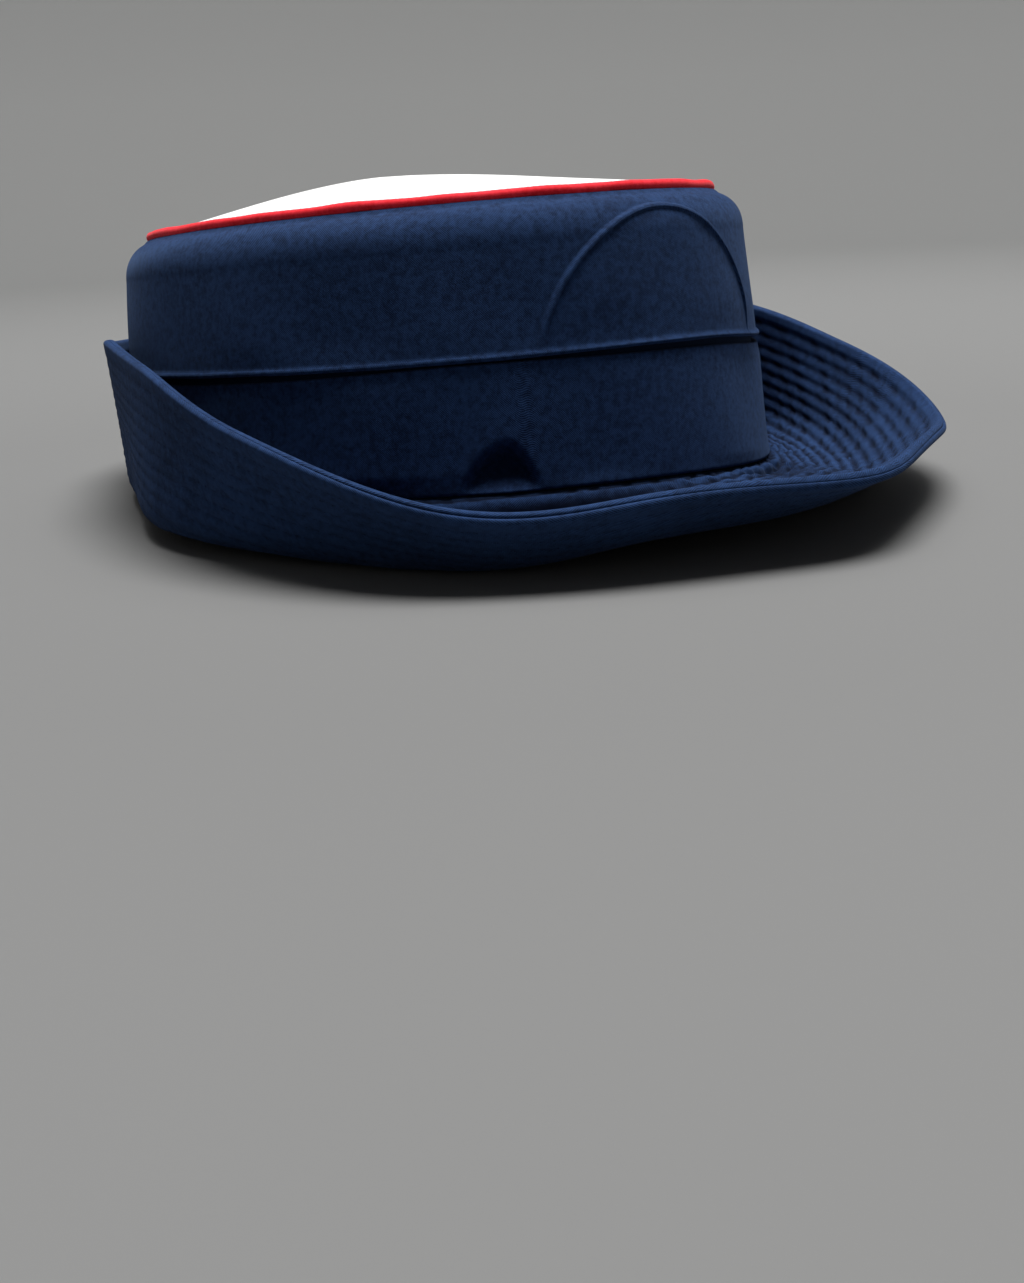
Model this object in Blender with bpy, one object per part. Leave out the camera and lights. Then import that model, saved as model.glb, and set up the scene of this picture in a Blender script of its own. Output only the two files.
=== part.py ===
"""Tricorn hat: an oval crown of two cloth walls under a domed top, with a stitched brim turned up round the back.

The hat is drawn level in its own frame: the middle seam is at height 0, the front at -Y, the wearer's left at +X.
An empty then leans it back until it stands on the lowest stretches of its brim, with its box centred on the origin.
Places round the hat are angles of the middle seam's oval, 0 at the front and 180 degrees at the back.
"""
from collections import namedtuple

import bmesh
import bpy
import numpy as np

# Crown, in metres, measured outside at the middle seam
CROWN_LENGTH = 0.2012
CROWN_WIDTH = 0.1734
CROWN_WALL = 0.0015
# Lower wall: from the middle seam down to the brim
BAND_HEIGHT = 0.0327
BAND_FLARE = 0.0028
BACK_LIFT = 0.0022
# Upper wall: from the middle seam up to the piping
SIDE_HEIGHT = 0.0373
SIDE_TAPER = 0.0025
SHOULDER_WIDTH = 0.0085
SHOULDER_HEIGHT = 0.0100
SEAM_MARGIN = 0.0030
# Trim
WELT_DIAMETER = 0.0018
WELT_PROUD = 0.0008
PIPING_DIAMETER = 0.0026
PANEL_WIDTH = 0.0745
PANEL_HEIGHT = 0.0330
PANEL_THICKNESS = 0.0010
PANEL_FULLNESS = 1.2
# Domed top
TOP_WALL = 0.0015
TOP_RISE = 0.0123
TOP_ROUNDNESS = 1.4
TOP_SET_BACK = 0.0210
# Brim
BRIM_WIDTH = 0.0580
BRIM_THICKNESS = 0.0028
POINT_LENGTH = 0.0040
POINT_SPREAD = np.radians(8)
# Fits
GAP = 0.0003
SETTLE = 0.0010

# The brim's section at places from front to back, the same on both sides. Angles are in degrees and lengths are
# shares of BRIM_WIDTH. It leaves the band sloping down by dip, turns up to rise along the stretch called roll,
# whose middle is at fold, and ends at width.
BrimRow = namedtuple("BrimRow", "place dip rise fold roll width")
BRIM_ROWS = [
    BrimRow(place=0, dip=18.5, rise=21, fold=0.44, roll=0.43, width=0.92),
    BrimRow(place=20, dip=15, rise=40.5, fold=0.53, roll=0.43, width=0.863),
    BrimRow(place=40, dip=35, rise=41, fold=0.385, roll=0.43, width=0.90),
    BrimRow(place=60, dip=29, rise=71, fold=0.33, roll=0.365, width=0.877),
    BrimRow(place=80, dip=16, rise=92, fold=0.27, roll=0.19, width=0.927),
    BrimRow(place=100, dip=21, rise=87, fold=0.058, roll=0.07, width=0.77),
    BrimRow(place=120, dip=21, rise=89, fold=0.015, roll=0.055, width=0.69),
    BrimRow(place=140, dip=21, rise=86, fold=0.045, roll=0.11, width=0.71),
    BrimRow(place=160, dip=21, rise=85.5, fold=0.06, roll=0.12, width=0.735),
    BrimRow(place=180, dip=21, rise=84.5, fold=0.07, roll=0.13, width=0.74),
]

# Fineness of the facets
COLUMNS = 72
WALK_STEPS = 60
WALK_STRIDE = 5
SHOULDER_STEPS = 6
ROUND_SIDES = 8
TOP_STEPS = 5
PANEL_ROWS = 9
PANEL_COLUMNS = 11

# Heights and insets that several pieces share
LIP_HEIGHT = SIDE_HEIGHT - PIPING_DIAMETER / 2 - GAP
SHOULDER_START = LIP_HEIGHT - SHOULDER_HEIGHT
PIPING_INSET = SIDE_TAPER + SHOULDER_WIDTH
TOP_INSET = PIPING_INSET + PIPING_DIAMETER / 2 + GAP
PLACES = np.linspace(0, 2 * np.pi, COLUMNS, endpoint=False)


def clear_objects():
    for thing in list(bpy.data.objects):
        bpy.data.objects.remove(thing)


def around(place, out, up):
    """Points that lie out from the middle seam's oval, along its normal, and up from its height."""
    half_length, half_width = CROWN_LENGTH / 2, CROWN_WIDTH / 2
    across, along = half_length * np.sin(place), half_width * np.cos(place)
    size = np.hypot(across, along)
    x = half_width * np.sin(place) + out * across / size
    y = -half_length * np.cos(place) - out * along / size
    return np.stack(np.broadcast_arrays(x, y, up), axis=-1)


def offset(path, distance):
    """A section path moved sideways, to the left of the way that it runs; its last axis is out and up."""
    way = np.gradient(path, axis=0)
    way /= np.linalg.norm(way, axis=-1, keepdims=True)
    return path + distance * np.stack([-way[..., 1], way[..., 0]], axis=-1)


def ring_faces(rows, columns, closed_section):
    """Quads between neighbouring rows, all the way round the hat; a closed section also joins last to first."""
    index = np.arange(rows * columns).reshape(rows, columns)
    if closed_section:
        index = np.vstack([index, index[:1]])
    ahead = np.roll(index, -1, axis=1)
    return np.stack([index[:-1], ahead[:-1], ahead[1:], index[1:]], axis=-1).reshape(-1, 4).tolist()


def cloth(name, colour, roughness):
    """A plain matt material of one colour."""
    material = bpy.data.materials.new(name)
    material.use_nodes = True
    shader = material.node_tree.nodes["Principled BSDF"]
    shader.inputs["Base Color"].default_value = (*colour, 1)
    shader.inputs["Roughness"].default_value = roughness
    shader.inputs["Metallic"].default_value = 0
    return material


def add_solid(name, points, faces, material, parent):
    """An object with its faces turned outwards and its round stretches shaded smooth."""
    mesh = bpy.data.meshes.new(name)
    mesh.from_pydata(points.reshape(-1, 3).tolist(), [], faces)
    shape = bmesh.new()
    shape.from_mesh(mesh)
    bmesh.ops.recalc_face_normals(shape, faces=shape.faces)
    shape.to_mesh(mesh)
    shape.free()
    mesh.shade_smooth()
    mesh.set_sharp_from_angle(angle=np.radians(40))
    mesh.materials.append(material)
    piece = bpy.data.objects.new(name, mesh)
    piece.parent = parent
    bpy.context.collection.objects.link(piece)
    return piece


def add_ring(name, section, material, parent):
    """A closed section, of points out and up, carried round the middle seam's oval."""
    section = section.reshape(len(section), -1, 2)
    points = around(PLACES, section[..., 0], section[..., 1])
    faces = ring_faces(len(section), COLUMNS, closed_section=True)
    return add_solid(name, points, faces, material, parent)


def round_section(out, up, diameter):
    """A circle of points."""
    turn = np.linspace(0, 2 * np.pi, ROUND_SIDES, endpoint=False) + np.pi / ROUND_SIDES
    return np.stack([out + diameter / 2 * np.cos(turn), up + diameter / 2 * np.sin(turn)], axis=-1)


def wall_section(outer, thickness):
    """A wall with this outer face, drawn upwards, and its inner face a thickness inside it."""
    return np.concatenate([outer, offset(outer, thickness)[::-1]])


def band_section():
    """Lower wall, from the middle seam's welt down and out to the brim; its foot is higher towards the back."""
    top = -WELT_DIAMETER / 2 - GAP
    share = np.linspace(1, 0, 3)[:, None]
    foot = foot_height(PLACES)
    up = top + share * (foot - top)
    outer = np.stack([up / foot * band_flare(PLACES), up], axis=-1)
    return wall_section(outer, CROWN_WALL)


def band_flare(place):
    """How far the band's foot stands out from the middle seam: all of it in front, and nothing at the back."""
    return BAND_FLARE * (1 + np.cos(place)) / 2


def foot_height(place):
    """Height of the line where the band meets the brim, lifted towards the back."""
    return -BAND_HEIGHT + BACK_LIFT * (1 - np.cos(place)) / 2


def side_out(up):
    """How far out the upper wall's face is at a height: a straight taper, then a quarter of an oval."""
    taper = SIDE_TAPER * np.clip(up / SHOULDER_START, 0, 1)
    climb = np.clip((up - SHOULDER_START) / SHOULDER_HEIGHT, 0, 1)
    return -taper - SHOULDER_WIDTH * (1 - np.sqrt(1 - climb**2))


def side_section():
    """Upper wall, from the middle seam's welt up over the shoulder to the lip that carries the piping and the top."""
    straight = np.linspace(WELT_DIAMETER / 2 + GAP, SHOULDER_START, 3, endpoint=False)
    turn = np.linspace(0, np.pi / 2, SHOULDER_STEPS)
    up = np.concatenate([straight, SHOULDER_START + SHOULDER_HEIGHT * np.sin(turn)])
    face = np.stack([side_out(up), up], axis=-1)
    lip_end = [[-TOP_INSET - SEAM_MARGIN, LIP_HEIGHT]]
    return wall_section(np.concatenate([face, lip_end]), CROWN_WALL)


def add_panel(material, parent):
    """Arched panel over the front of the upper wall. Its rows climb the arch and its columns run across it."""
    climb = np.linspace(0, np.pi / 2, PANEL_ROWS)[:, None]
    foot = WELT_PROUD + WELT_DIAMETER / 2 + GAP
    up = foot + (PANEL_HEIGHT - foot) * np.sin(climb) ** PANEL_FULLNESS
    half_spread = np.arcsin(PANEL_WIDTH / CROWN_WIDTH) * np.cos(climb[:-1])
    place = half_spread * np.linspace(-1, 1, PANEL_COLUMNS)
    step = SHOULDER_HEIGHT / 100
    steepness = (side_out(up + step) - side_out(up - step)) / (2 * step)
    lean = np.arctan(-steepness)
    faces, layers = [], []
    for proud in (GAP, GAP + PANEL_THICKNESS):
        out, height = side_out(up) + proud * np.cos(lean), up + proud * np.sin(lean)
        rows = around(place, out[:-1], height[:-1]).reshape(-1, 3)
        layers += [rows, around(np.zeros(1), out[-1], height[-1])]
    rows, columns = place.shape
    size = rows * columns + 1
    inner = np.arange(size - 1).reshape(rows, columns)
    for index, apex in ((inner, size - 1), (inner + size, 2 * size - 1)):
        quads = [index[:-1, :-1], index[:-1, 1:], index[1:, 1:], index[1:, :-1]]
        faces += np.stack(quads, axis=-1).reshape(-1, 4).tolist()
        faces += [[a, b, apex] for a, b in zip(index[-1, :-1], index[-1, 1:])]
    rim = [*inner[0], *inner[1:, -1], size - 1, *inner[:0:-1, 0]]
    faces += [[a, b, b + size, a + size] for a, b in zip(rim, rim[1:] + rim[:1])]
    faces = [[int(corner) for corner in face] for face in faces]
    return add_solid("front_panel", np.concatenate(layers), faces, material, parent)


def add_top(material, parent):
    """Domed top: ovals that shrink towards a summit set back from the middle, with the same ovals a wall below."""
    share = np.linspace(1, 0, TOP_STEPS, endpoint=False)[:, None]
    rim = around(PLACES, -TOP_INSET, 0)[:, :2]
    spread = share[..., None] * rim + (1 - share[..., None]) * np.array([0, TOP_SET_BACK])
    height = LIP_HEIGHT + GAP + TOP_RISE * (1 - share**TOP_ROUNDNESS) + np.zeros(COLUMNS)
    under = np.concatenate([spread, height[..., None]], axis=-1)
    over = under + np.array([0, 0, TOP_WALL])
    summit = np.array([[0, TOP_SET_BACK, LIP_HEIGHT + GAP + TOP_RISE]])
    rings = np.concatenate([under[::-1], over]).reshape(-1, 3)
    points = np.concatenate([rings, summit, summit + [0, 0, TOP_WALL]])
    faces = ring_faces(2 * TOP_STEPS, COLUMNS, closed_section=False)
    first, last = np.arange(COLUMNS), np.arange(COLUMNS) + (2 * TOP_STEPS - 1) * COLUMNS
    for ring, pole in ((first, len(rings)), (last, len(rings) + 1)):
        faces += [[int(a), int(b), pole] for a, b in zip(ring, np.roll(ring, -1))]
    return add_solid("crown_top", points, faces, material, parent)


def brim_value(column, place):
    """A column of the brim's table at any place: a smooth curve through its rows, mirrored at front and back."""
    values = np.array([getattr(row, column) for row in BRIM_ROWS], float)
    mirrored = np.concatenate([values[1:2], values, values[-2:-1]])
    turned = np.abs((place + np.pi) % (2 * np.pi) - np.pi)
    steps = turned / np.radians(BRIM_ROWS[1].place)
    row = np.minimum(np.floor(steps + 1e-9).astype(int), len(values) - 2)
    u = steps - row
    before, start, end, after = (mirrored[row + k] for k in range(4))
    bend = 2 * before - 5 * start + 4 * end - after
    twist = 3 * (start - end) + after - before
    return start + u / 2 * (end - before + u * (bend + u * twist))


def walked_distances(fold, roll, width):
    """Distance walked at each step: a quarter of the steps come before the roll, half on it and a quarter after."""
    quarters = np.linspace(0, 4, WALK_STEPS + 1)[:, None]
    begin = np.maximum(fold - roll / 2, BRIM_THICKNESS / 2)
    end = np.maximum(fold + roll / 2, 3 * BRIM_THICKNESS)
    before, along, after = np.clip(quarters, 0, 1), np.clip((quarters - 1) / 2, 0, 1), np.clip(quarters - 3, 0, 1)
    return before * begin + along * (end - begin) + after * (width - end)


def brim_upper_face():
    """Upper face in section, at each place: a walk out from the band's foot, turning up as it goes."""
    dip, rise = (np.radians(brim_value(column, PLACES)) for column in ("dip", "rise"))
    fold, roll, width = (BRIM_WIDTH * brim_value(column, PLACES) for column in ("fold", "roll", "width"))
    from_front = np.abs((PLACES + np.pi) % (2 * np.pi) - np.pi)
    width = width + POINT_LENGTH * np.exp(-((from_front / POINT_SPREAD) ** 2))
    walked = walked_distances(fold, roll, width)
    turned = np.clip((walked - fold) / roll + 0.5, 0, 1)
    turned = turned**2 * (3 - 2 * turned)
    slope = (dip + rise) * turned - dip
    heading = np.stack([np.cos(slope), np.sin(slope)], axis=-1)
    walk = np.zeros_like(heading)
    walk[1:] = np.cumsum((heading[1:] + heading[:-1]) / 2 * np.diff(walked, axis=0)[..., None], axis=0)
    foot = np.stack([band_flare(PLACES) + GAP, foot_height(PLACES)], axis=-1)
    return foot + walk[::WALK_STRIDE]


def standing_line(under):
    """Slope and height of the line, in side view, that the brim's underside stands on below the crown's middle."""
    back, up = under[..., 1].ravel(), under[..., 2].ravel()
    least, most = -1.0, 1.0
    for _ in range(50):
        slope = (least + most) / 2
        lowest = np.argmin(up - slope * back)
        if back[lowest] < 0:
            least = slope
        else:
            most = slope
    return slope, np.min(up - slope * back)


def brim_points():
    """Rows of the brim's closed section round the hat, with its underside pressed flat, and the line it stands on."""
    upper = brim_upper_face()
    lower = offset(upper, -BRIM_THICKNESS)
    edge_way = upper[-1] - upper[-2]
    edge_way /= np.linalg.norm(edge_way, axis=-1, keepdims=True)
    edge = (upper[-1] + lower[-1]) / 2 + BRIM_THICKNESS / 3 * edge_way
    section = np.concatenate([upper, edge[None], lower[::-1]])
    points = around(PLACES, section[..., 0], section[..., 1])
    slope, height = standing_line(points)
    height += SETTLE
    points[..., 2] = np.maximum(points[..., 2], slope * points[..., 1] + height)
    return points, slope, height


def resting_place(points, slope, height):
    """Turn and location that lay the standing line on the ground and centre the brim's box on the origin."""
    lean = -np.arctan(slope)
    back = points[..., 1] * np.cos(lean) - points[..., 2] * np.sin(lean)
    return (lean, 0, 0), (0, -(back.min() + back.max()) / 2, -height * np.cos(lean))


def build():
    clear_objects()
    rest = bpy.data.objects.new("rest", None)
    bpy.context.collection.objects.link(rest)
    points, slope, height = brim_points()
    rest.rotation_euler, rest.location = resting_place(points, slope, height)
    faces = ring_faces(len(points), COLUMNS, closed_section=True)
    navy, deep_navy = (0.018, 0.030, 0.085), (0.012, 0.020, 0.058)
    add_solid("brim", points, faces, cloth("stitched navy", deep_navy, 0.9), rest)
    add_ring("crown_band", band_section(), cloth("band navy", navy, 0.9), rest)
    add_ring("crown_side", side_section(), cloth("crown navy", navy, 0.9), rest)
    welt_out = WELT_PROUD - WELT_DIAMETER / 2
    add_ring("band_welt", round_section(welt_out, 0, WELT_DIAMETER), cloth("welt navy", navy, 0.85), rest)
    add_panel(cloth("panel navy", navy, 0.9), rest)
    piping = round_section(-PIPING_INSET, SIDE_HEIGHT, PIPING_DIAMETER)
    add_ring("top_piping", piping, cloth("red piping", (0.62, 0.01, 0.02), 0.6), rest)
    add_top(cloth("white cotton", (0.85, 0.85, 0.84), 0.85), rest)


build()
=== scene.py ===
"""Looks of the tricorn hat: navy cloth crown and stitched brim, red piping and a domed white top.

Every cloth piece is a surface worked out with numpy in the hat's own frame and then laid where the solids
stand. In that frame the middle seam is at height 0, the front at -Y and the wearer's left at +X. A place is
an angle of the middle seam's oval, 0 at the front. Out is the distance from that oval along its normal, and
up is the height. Left and right are the wearer's.
"""
from collections import namedtuple

import bpy
import numpy as np
from mathutils import Matrix


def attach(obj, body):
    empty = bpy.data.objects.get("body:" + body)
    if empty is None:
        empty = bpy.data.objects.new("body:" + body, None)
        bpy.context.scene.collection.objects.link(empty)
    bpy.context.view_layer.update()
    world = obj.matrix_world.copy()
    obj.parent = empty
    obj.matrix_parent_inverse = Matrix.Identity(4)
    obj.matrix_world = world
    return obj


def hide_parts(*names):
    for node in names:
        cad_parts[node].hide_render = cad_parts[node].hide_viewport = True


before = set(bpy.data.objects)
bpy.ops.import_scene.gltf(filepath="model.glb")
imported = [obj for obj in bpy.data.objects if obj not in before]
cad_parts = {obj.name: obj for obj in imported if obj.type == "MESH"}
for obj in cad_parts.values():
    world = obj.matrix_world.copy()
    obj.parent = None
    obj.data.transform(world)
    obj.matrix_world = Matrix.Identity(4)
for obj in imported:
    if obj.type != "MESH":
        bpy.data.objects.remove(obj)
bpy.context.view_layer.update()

MM = 0.001
BODY = "root"

# Crown, as in the solids
CROWN_WALL = 1.5 * MM
BAND_HEIGHT = 32.7 * MM
BAND_FLARE = 2.8 * MM
BACK_LIFT = 2.2 * MM
SIDE_HEIGHT = 37.3 * MM
SIDE_TAPER = 2.5 * MM
SHOULDER_WIDTH = 8.5 * MM
SHOULDER_HEIGHT = 10.0 * MM
SEAM_MARGIN = 3.0 * MM
WELT_PROUD = 0.8 * MM
PIPING_DIAMETER = 2.6 * MM
PANEL_WIDTH = 74.5 * MM
PANEL_HEIGHT = 33.0 * MM
PANEL_THICKNESS = 1.0 * MM
PANEL_FULLNESS = 1.2
TOP_WALL = 1.5 * MM
TOP_RISE = 12.3 * MM
TOP_ROUNDNESS = 1.4
TOP_SET_BACK = 21.0 * MM
BRIM_WIDTH = 58.0 * MM
BRIM_THICKNESS = 2.8 * MM
POINT_LENGTH = 4.0 * MM
POINT_SPREAD = np.radians(8)
GAP = 0.3 * MM

LIP_HEIGHT = SIDE_HEIGHT - PIPING_DIAMETER / 2 - GAP
SHOULDER_START = LIP_HEIGHT - SHOULDER_HEIGHT
PIPING_INSET = SIDE_TAPER + SHOULDER_WIDTH
TOP_INSET = PIPING_INSET + PIPING_DIAMETER / 2 + GAP

# The brim's section at places from front to back, the same on both sides. Angles are in degrees and lengths
# are shares of BRIM_WIDTH. It leaves the band sloping down by dip, turns up to rise along the stretch called
# roll, whose middle is at fold, and ends at width.
BrimRow = namedtuple("BrimRow", "place dip rise fold roll width")
BRIM_ROWS = [
    BrimRow(place=0, dip=18.5, rise=21, fold=0.44, roll=0.43, width=0.92),
    BrimRow(place=20, dip=15, rise=40.5, fold=0.53, roll=0.43, width=0.863),
    BrimRow(place=40, dip=35, rise=41, fold=0.385, roll=0.43, width=0.90),
    BrimRow(place=60, dip=29, rise=71, fold=0.33, roll=0.365, width=0.877),
    BrimRow(place=80, dip=16, rise=92, fold=0.27, roll=0.19, width=0.927),
    BrimRow(place=100, dip=21, rise=87, fold=0.058, roll=0.07, width=0.77),
    BrimRow(place=120, dip=21, rise=89, fold=0.015, roll=0.055, width=0.69),
    BrimRow(place=140, dip=21, rise=86, fold=0.045, roll=0.11, width=0.71),
    BrimRow(place=160, dip=21, rise=85.5, fold=0.06, roll=0.12, width=0.735),
    BrimRow(place=180, dip=21, rise=84.5, fold=0.07, roll=0.13, width=0.74),
]

# Quilting of the brim
STITCH_ROWS = 13
ROW_WANDER = 0.07
SPARE_ROWS = 2
RIM_MARGIN = 3.6 * MM
QUILT_AT_FOOT = 1.00 * MM
QUILT_AT_RIM = 0.36 * MM
TUCK_AT_FOOT = 1.40 * MM
TUCK_AT_RIM = 0.16 * MM
RIM_TUCK = 0.30 * MM
DEEPEST_TUCK = 1.25 * MM
RIM_PUFF = 0.22 * MM
# How low the under ply's quilting is, and how much lighter its painted shade.
UNDER_QUILT, UNDER_SHADE = 0.3, 0.5
PUCKER_WAVES = np.array([52, 67, 83, 104, 127])
TUCK_WAVES = np.array([61, 79, 97, 113, 131])
ROW_SLANT = 0.024
SWELL_SLANT = 0.03
ROW_JITTER = 0.9
TUCK_LEVEL, TUCK_RANGE = -0.15, 1.1
GATHER_PLAIN, GATHER_CHANGE = 0.85, 0.6
CALM_PLACE, CALM_SPREAD = np.radians([-38, 34])
GATHER_PLACE, GATHER_SPREAD = np.radians([26, 21])
HOLLOW_PLACE, HOLLOW_SPREAD = np.radians([46, 14])
HOLLOW_DEPTH = 0.8 * MM
HOLLOW_ROW, HOLLOW_ROWS = 1.8, 1.1
BRIM_PLACES = 740
BRIM_STEPS = 112
HIDDEN_STEPS = 8
EDGE_STEPS = 9
PLY_GAP = 0.02 * MM
EDGE_BULGE = 1.15 * MM
EDGE_GROOVE_WIDTH = 0.30 * MM
EDGE_GROOVE_LEAST, EDGE_GROOVE_MORE = 0.05, 0.50
EDGE_GROOVE_PLACE, EDGE_GROOVE_SPREAD = 36, 16
# The upper ply's seam allowance under the band, as (out, up) from the brim's foot
ALLOWANCE = np.array([[-1.7, -0.3], [-1.7, 0.9]]) * MM
PRESS_ROUNDING = 0.5 * MM
SUBSTEPS = 4

# Thread of the stitches: pitch and length along the row, and diameter
Stitch = namedtuple("Stitch", "pitch length diameter")
BRIM_STITCH = Stitch(pitch=3.1 * MM, length=2.3 * MM, diameter=0.42 * MM)
PANEL_STITCH = Stitch(pitch=2.2 * MM, length=1.6 * MM, diameter=0.36 * MM)
STITCH_RINGS = 4

# Seams and edges of the crown
GROOVE_FOOT = 2.65 * MM
GROOVE_CLOSING = 1.2 * MM
GROOVE_DEPTH = 1.8 * MM
GROOVE_PLACE, GROOVE_SPREAD = np.radians([-36, 24])
WELT_RAISE = 0.32 * MM
WELT_CLOTH = 1.4 * MM
SEAM_FOOT = -0.1 * MM
SEAM_FLARE = 0.85 * MM
SEAM_BEAD = 0.35 * MM
SEAM_BEAD_HEIGHT = 0.62 * MM
SEAM_FOLD = 0.25 * MM
LIP_RADIUS = 0.55 * MM
HEM_RADIUS = 0.85 * MM
HEM_LIFT = 0.9 * MM
PIPING_SEAT = 0.75 * MM
SEAT_PLACE, SEAT_SPREAD = 1.15 * MM, 0.85 * MM
CORD_SWELL, CORD_DRIFT = 0.04, 0.05
CROWN_PLACES = 600
PIPING_PLACES = 900
SIDE_STEPS = 48
SHOULDER_STEPS = 34
BAND_STEPS = 64

# Slow waves of the crown's cloth, and how far from the seam, the lip and the foot they fade away
SIDE_WAVE, SIDE_WAVE_PITCH = 0.30 * MM, 50 * MM
BAND_WAVE, BAND_WAVE_PITCH = 0.28 * MM, 55 * MM
CALM_AT_SEAM = 8 * MM
CALM_AT_LIP = 5 * MM
CALM_AT_FOOT = 4 * MM

# Relief of the front panel: heights as shares of its thickness, and the distances over which they come
PANEL_GROOVE = 2.2 * MM
PANEL_RIDGE, RIDGE_REACH = 0.85, 1.3 * MM
PANEL_DROP, DROP_REACH = 0.65, 0.45 * MM
PANEL_PUFF, PUFF_REACH = 0.25, 9.0 * MM
PANEL_LEAST, FADE_REACH = 0.2, 11 * MM
PANEL_SEAT = 0.05 * MM
PANEL_COLUMNS = 181
PANEL_CREASE = np.radians(55)
LEAN_STEP = 0.1 * MM

# Cloth of the white top, by the share that runs from 1 at the piping to 0 at the summit
TOP_EDGE, TOP_EDGE_SPAN = 0.86, 0.14
TOP_GATHER = 0.10 * MM
TOP_SLACK = 0.25 * MM
TOP_TUCK = 0.9 * MM
TUCK_START, TUCK_SPAN = 0.985, 0.015
TOP_EDGE_RINGS, TOP_INNER_RINGS = 22, 40
TOP_UNDER_RINGS = [0, 20, 30, 40, 50, 61]

# Where the seam and the brim's foot sag left of the front, and where the brim falls off steeply close to
# its foot
SEAM_SAG_PLACE, SEAM_SAG_SPREAD = np.radians([39, 24])
SEAM_SAG = 3.1 * MM
FOOT_SAG_PLACE, FOOT_SAG_SPREAD = np.radians([38, 33])
FOOT_SAG = 5.0 * MM
SAG_REACH = 20 * MM
Fall = namedtuple("Fall", "place spread depth")
FALLS = [Fall(place=-25, spread=15, depth=3.6 * MM), Fall(place=19, spread=7, depth=2.0 * MM)]
FALL_START, FALL_REACH = 1.5 * MM, 1.3 * MM
FALL_END, FALL_RETURN = 6.5 * MM, 15.0 * MM

# Where the brim's rim hangs a little lower, right of the front
RIM_SAG_PLACE, RIM_SAG_SPREAD = np.radians([-30, 11])
RIM_SAG = 1.0 * MM
RIM_SAG_START, RIM_SAG_REACH = 0.45, 0.5

# Where the band's foot is drawn in, right of the front, by the brim that stands close to it
PULL_PLACE, PULL_SPREAD = np.radians([-60, 20])
PULL_DEPTH = 1.3 * MM
PULL_HEIGHT = 6.0 * MM

# Soft dent low on the right of the band, with an arched upper edge and a bulge under it
DENT_PLACE = np.radians(-31.2)
DENT_TOP = -17.4 * MM
DENT_BOTTOM = -32.0 * MM
DENT_ARCH = 8.0 * MM
DENT_REACH = (np.radians(6.4), np.radians(3.9))
DENT_DEPTH = 4.6 * MM
DENT_BRINK = 7.0 * MM
DENT_FLOOR = 6.2 * MM
# Strength of the painted shade in the dent and on the band's drawn-in foot.
DENT_SHADE = 0.7
BULGE_PLACE = np.radians(-32.0)
BULGE_HEIGHT = -32.2 * MM
BULGE_PROUD = 0.5 * MM
BULGE_SPREAD = (np.radians(3.4), 1.9 * MM)

# Studio
FLOOR_RADIUS = 1.5
SWEEP_RADIUS = 1.2
STUDIO_HEIGHT = 3.4
STUDIO_SIDES = 96
FLOOR_GAP = 0.45 * MM
AMBIENT_COLOUR = (0.9, 0.94, 1.0, 1)
AMBIENT_STRENGTH = 0.095

# Camera in the hat's own frame
CAMERA_PLACE = (-0.2591, -0.3537, 0.0210)
CAMERA_AIM = (0.0118, -0.0093, -0.0939)
CAMERA_ROLL = np.radians(-4.96)
CAMERA_LENS = 40.12
CAMERA_SENSOR = 36


def node_points(name):
    points = np.zeros(len(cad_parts[name].data.vertices) * 3)
    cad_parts[name].data.vertices.foreach_get("co", points)
    return points.reshape(-1, 3)


def hat_frame():
    """The hat's axes as columns, its origin and the middle seam's half length and half width, from the welt.

    The welt is a level ring: its up axis is the direction in which its points spread least, and the seam's
    oval is the ring's box less what the welt stands proud.
    """
    ring = node_points("band_welt")
    up = np.linalg.svd(ring - ring.mean(axis=0), full_matrices=False)[2][2]
    up *= np.sign(up[2])
    across = np.array([1.0, 0.0, 0.0])
    axes = np.stack([across, np.cross(up, across), up], axis=1)
    level = ring @ axes
    low, high = level.min(axis=0), level.max(axis=0)
    origin = axes @ ((low + high) / 2)
    half_width, half_length = (high - low)[:2] / 2 - WELT_PROUD
    return axes, origin, half_length, half_width


AXES, ORIGIN, HALF_LENGTH, HALF_WIDTH = hat_frame()


def in_world(points):
    return points @ AXES.T + ORIGIN


def around(place, out, up):
    """Point of the hat: the seam's oval (b sin t, -a cos t), moved out along its normal and up.

    The normal is (a sin t, -b cos t) made one long, for half length a and half width b.
    """
    across, along = HALF_LENGTH * np.sin(place), HALF_WIDTH * np.cos(place)
    size = np.hypot(across, along)
    x = HALF_WIDTH * np.sin(place) + out * across / size
    y = -HALF_LENGTH * np.cos(place) - out * along / size
    return np.stack(np.broadcast_arrays(x, y, up), axis=-1)


def seam_sag(place, up):
    """How far the cloth hangs lower than the plain seam, fading away above and below it."""
    fade = smooth_step(1 - np.abs(up) / SAG_REACH)
    return SEAM_SAG * bell((from_front(place) - SEAM_SAG_PLACE) / SEAM_SAG_SPREAD) * fade


def crown_point(place, out, up):
    return around(place, out, up - seam_sag(place, up))


def places(count, crowding=0.0):
    """Places round the hat, closer together in front with crowding: t - crowding * sin t for even t."""
    even = np.linspace(0, 2 * np.pi, count, endpoint=False)
    return even - crowding * np.sin(even)


def crown_places():
    return places(CROWN_PLACES, 0.4)


def from_front(place):
    """Signed angle from the front, between minus and plus half a turn."""
    return (place + np.pi) % (2 * np.pi) - np.pi


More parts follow.
